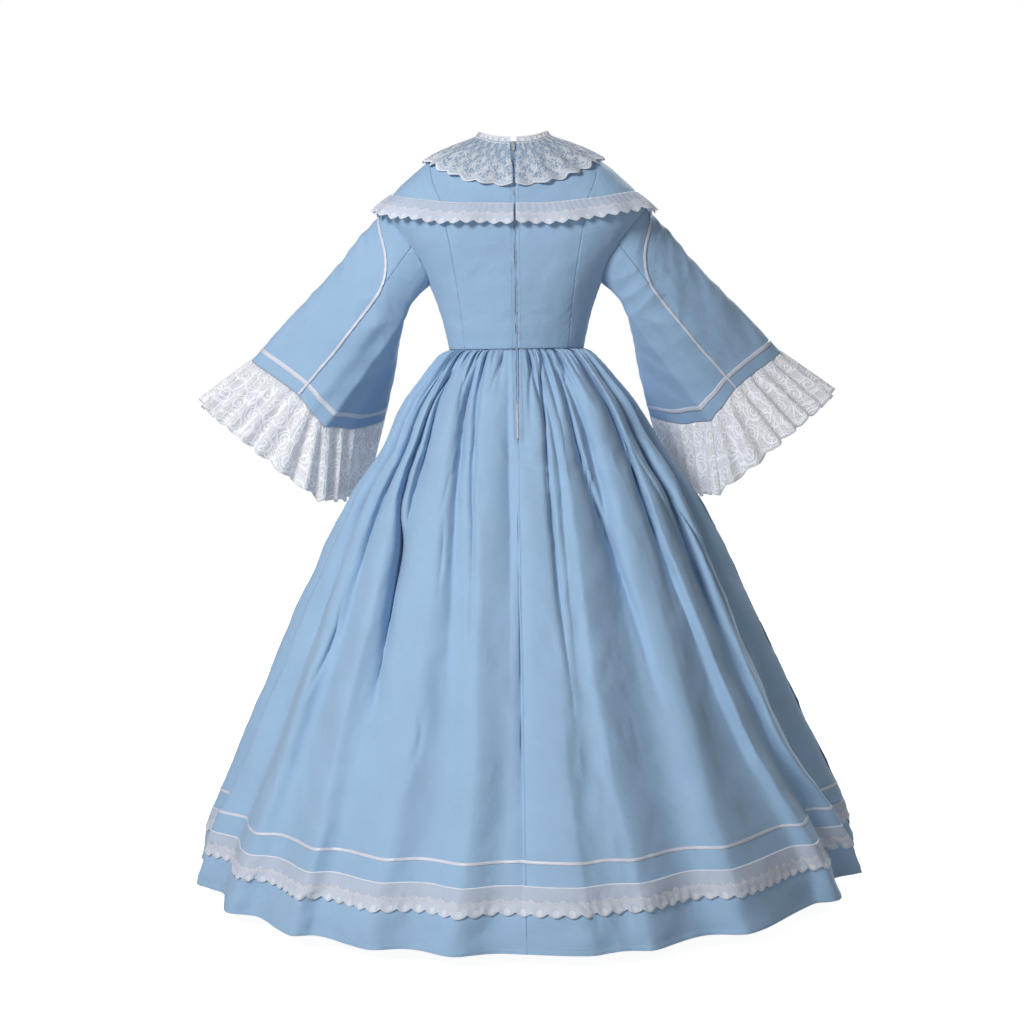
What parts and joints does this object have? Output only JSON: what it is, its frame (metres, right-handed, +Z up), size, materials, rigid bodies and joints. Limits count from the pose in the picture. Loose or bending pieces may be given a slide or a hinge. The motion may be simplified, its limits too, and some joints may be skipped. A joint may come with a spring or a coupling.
{
  "type": "evening gown",
  "caption": "Full-length princess-cut gown, worn and hollow, with a gathered skirt, pagoda sleeves with lace flounces, a lace collar and a centre back zip.",
  "frame": {"origin": "between the shoulders, where the wearer's shoulders hold the gown up", "axes": "+Z up, the wearer faces -Y and +X is the wearer's left"},
  "size_m": [1.2407, 1.2128, 1.3454],
  "materials": {
    "cotton": "light blue plain-woven cotton, matt",
    "corded_lace": "white corded lace on net",
    "net_lace": "sheer white floral net lace",
    "eyelet": "white cotton with an embroidered eyelet edge",
    "satin": "white satin ribbon",
    "tape": "beige woven zip tape and coil",
    "zip_metal": "nickel-plated metal"
  },
  "bodies": {
    "gown": {"bodice_back_left": "cotton", "bodice_back_right": "cotton", "bodice_side_back_left": "cotton", "bodice_side_back_right": "cotton", "bodice_side_front_left": "cotton", "bodice_side_front_right": "cotton", "bodice_front": "cotton", "skirt_back_left": "cotton", "skirt_back_right": "cotton", "skirt_front": "cotton", "skirt_ribbon": "satin", "skirt_frill": "eyelet", "sleeve_upper_left": "cotton", "sleeve_upper_right": "cotton", "sleeve_under_left": "cotton", "sleeve_under_right": "cotton", "sleeve_lace_left": "corded_lace", "sleeve_lace_right": "corded_lace", "sleeve_hem_ribbon_left": "satin", "sleeve_hem_ribbon_right": "satin", "sleeve_ribbon_left": "satin", "sleeve_ribbon_right": "satin", "lace_collar": "net_lace", "bertha_frill": "eyelet", "zip_tape": "tape", "zip_slider": "zip_metal"},
    "pull": {"zip_pull": "zip_metal"}
  },
  "joints": [
    {"name": "pull_hinge", "type": "hinge", "parent": "gown", "child": "pull", "pos_m": [0, 0.06445, 0.02516], "axis": [1, 0, 0], "range_deg": [0, 165]}
  ]
}
